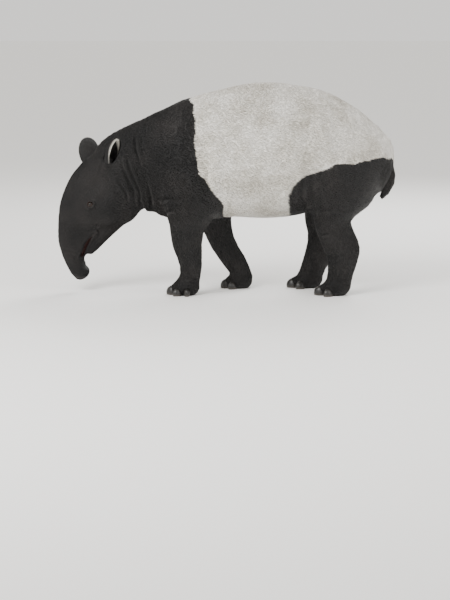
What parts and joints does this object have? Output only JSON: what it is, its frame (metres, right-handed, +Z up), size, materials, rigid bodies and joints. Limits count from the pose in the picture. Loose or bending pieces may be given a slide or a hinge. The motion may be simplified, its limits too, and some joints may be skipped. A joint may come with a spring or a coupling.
{
  "type": "malayan tapir",
  "caption": "Life-size Malayan tapir standing with its head lowered: black foreparts and legs, a white saddle, a short hanging snout, rounded ears and a stub of a tail.",
  "frame": {"origin": "middle of the box round the animal, on the floor it stands on", "axes": "+X from the snout to the rump, +Y to the animal's right, +Z up"},
  "size_m": [1.6094, 0.5454, 0.9965],
  "materials": {
    "black_coat": "short black fur lying flat over thick hide",
    "white_coat": "short off-white fur of the saddle lying flat over thick hide",
    "hoof_horn": "dark worn horn, satin",
    "eye": "dark brown glass eye, polished"
  },
  "bodies": {
    "root": {"torso": "white_coat", "neck": "black_coat", "head": "black_coat", "snout": "black_coat", "jaw": "black_coat", "tail": "black_coat", "ear_left": "black_coat", "ear_right": "black_coat", "eye_left": "eye", "eye_right": "eye", "foreleg_left_upper": "black_coat", "foreleg_left_lower": "black_coat", "foreleg_left_hoof_1": "hoof_horn", "foreleg_left_hoof_2": "hoof_horn", "foreleg_left_hoof_3": "hoof_horn", "foreleg_left_hoof_4": "hoof_horn", "foreleg_right_upper": "black_coat", "foreleg_right_lower": "black_coat", "foreleg_right_hoof_1": "hoof_horn", "foreleg_right_hoof_2": "hoof_horn", "foreleg_right_hoof_3": "hoof_horn", "foreleg_right_hoof_4": "hoof_horn", "hindleg_left_upper": "black_coat", "hindleg_left_lower": "black_coat", "hindleg_left_hoof_1": "hoof_horn", "hindleg_left_hoof_2": "hoof_horn", "hindleg_left_hoof_3": "hoof_horn", "hindleg_right_upper": "black_coat", "hindleg_right_lower": "black_coat", "hindleg_right_hoof_1": "hoof_horn", "hindleg_right_hoof_2": "hoof_horn", "hindleg_right_hoof_3": "hoof_horn"}
  },
  "joints": []
}
